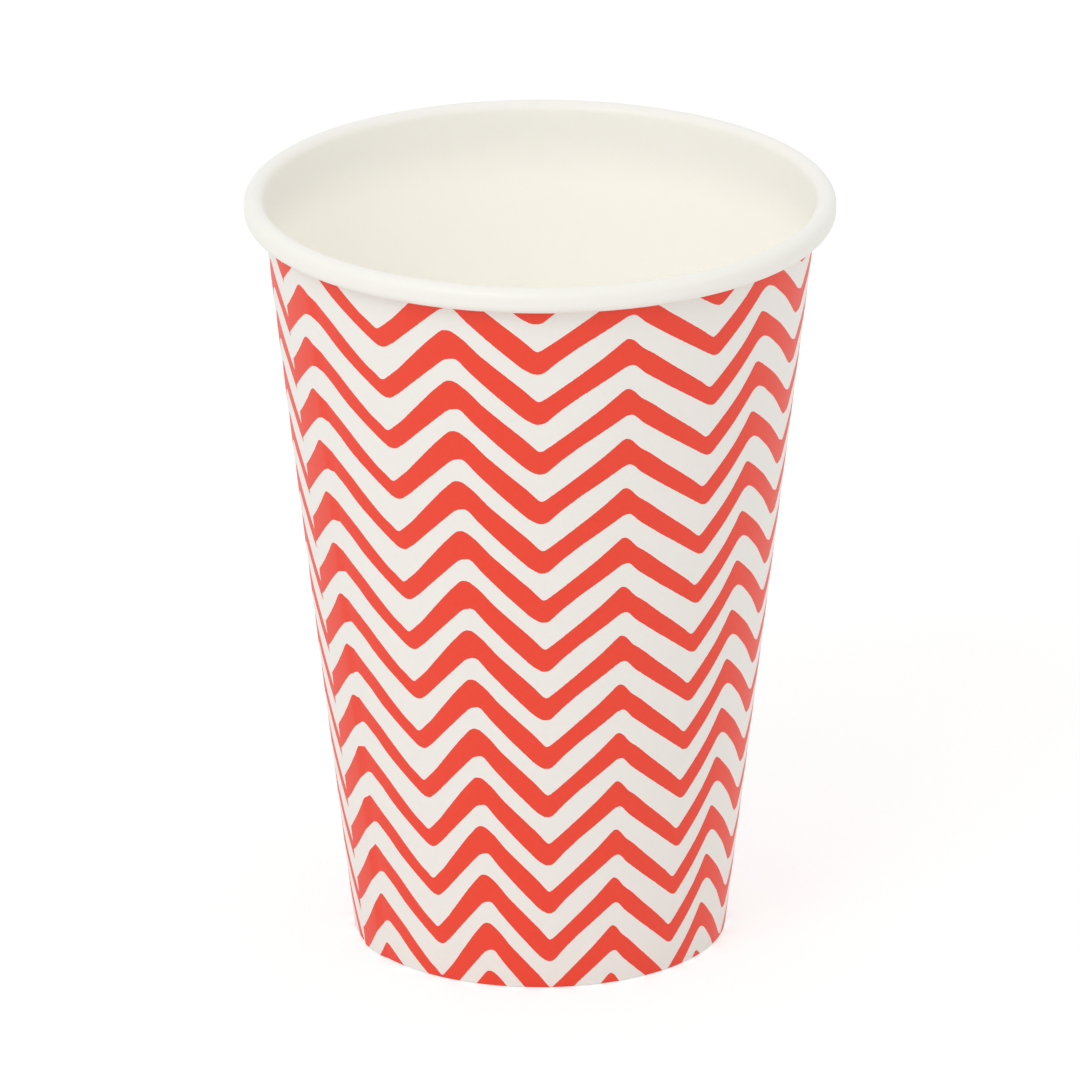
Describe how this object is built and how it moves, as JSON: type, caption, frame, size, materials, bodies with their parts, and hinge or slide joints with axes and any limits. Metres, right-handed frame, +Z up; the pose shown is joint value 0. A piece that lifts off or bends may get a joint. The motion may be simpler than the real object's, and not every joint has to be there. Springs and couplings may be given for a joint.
{
  "type": "paper cup",
  "caption": "Tapered cold-drink cup of paperboard with a rolled rim, a lapped side seam and a recessed base disc, printed with a zigzag.",
  "frame": {"origin": "centre of the ring that the foot stands on, level with the table", "axes": "+Z up along the cup's axis to the rim, -Y towards the front of the picture, the side seam at the left towards -X"},
  "size_m": [0.078, 0.078, 0.1027],
  "materials": {
    "printed_board": "satin",
    "plain_board": "satin"
  },
  "bodies": {
    "root": {"side_wall": "printed_board", "base_disc": "plain_board"}
  },
  "joints": []
}
